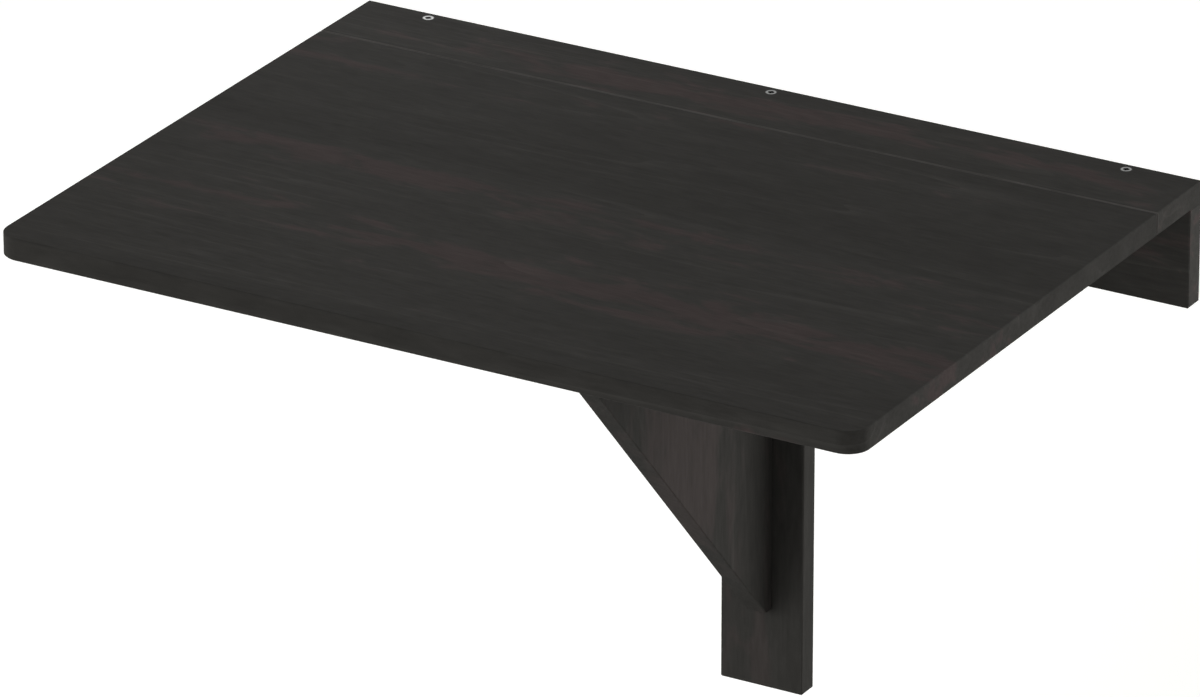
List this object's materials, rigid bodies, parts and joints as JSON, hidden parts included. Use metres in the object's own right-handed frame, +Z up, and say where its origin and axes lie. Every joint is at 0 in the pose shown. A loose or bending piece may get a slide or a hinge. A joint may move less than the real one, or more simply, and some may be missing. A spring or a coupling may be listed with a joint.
{
  "type": "wall mounted drop leaf table",
  "caption": "Wall-mounted drop-leaf table: a fixed shelf on a wall board, a hinged leaf resting on a triangular bracket, and a post on which the bracket swings aside.",
  "frame": {"origin": "midway between the wall board's two fixing holes, on the wall", "axes": "+X along the wall, to the right for someone who faces it; +Y into the wall; +Z up"},
  "size_m": [0.8, 0.59, 0.548],
  "materials": {
    "stained_wood": "dark brown stain, satin lacquer",
    "dowel_wood": "bare turned beech",
    "hinge_steel": "pressed steel, bright zinc plate",
    "screw_steel": "bright zinc plate",
    "pad_rubber": "matt black rubber"
  },
  "bodies": {
    "wall_frame": {"wall_shelf": "stained_wood", "wall_board": "stained_wood", "post": "stained_wood", "shelf_screws": "screw_steel", "post_dowels": "dowel_wood", "left_leaf_hinge_shelf_plate": "hinge_steel", "right_leaf_hinge_shelf_plate": "hinge_steel", "upper_bracket_hinge_post_plate": "hinge_steel", "lower_bracket_hinge_post_plate": "hinge_steel", "left_leaf_hinge_pin": "hinge_steel", "right_leaf_hinge_pin": "hinge_steel", "upper_bracket_hinge_pin": "hinge_steel", "lower_bracket_hinge_pin": "hinge_steel"},
    "leaf": {"drop_leaf": "stained_wood", "left_leaf_hinge_leaf_plate": "hinge_steel", "right_leaf_hinge_leaf_plate": "hinge_steel"},
    "bracket": {"support_bracket": "stained_wood", "inner_rest_pad": "pad_rubber", "outer_rest_pad": "pad_rubber", "upper_bracket_hinge_bracket_plate": "hinge_steel", "lower_bracket_hinge_bracket_plate": "hinge_steel"}
  },
  "joints": [
    {"name": "leaf_hinge", "type": "hinge", "parent": "wall_frame", "child": "leaf", "pos_m": [0, -0.0805, 0.0407], "axis": [1, 0, 0], "range_deg": [-2, 0]},
    {"name": "bracket_swing", "type": "hinge", "parent": "wall_frame", "child": "bracket", "pos_m": [-0.0133, -0.0233, -0.21675], "axis": [0, 0, -1], "range_deg": [0, 90]}
  ]
}
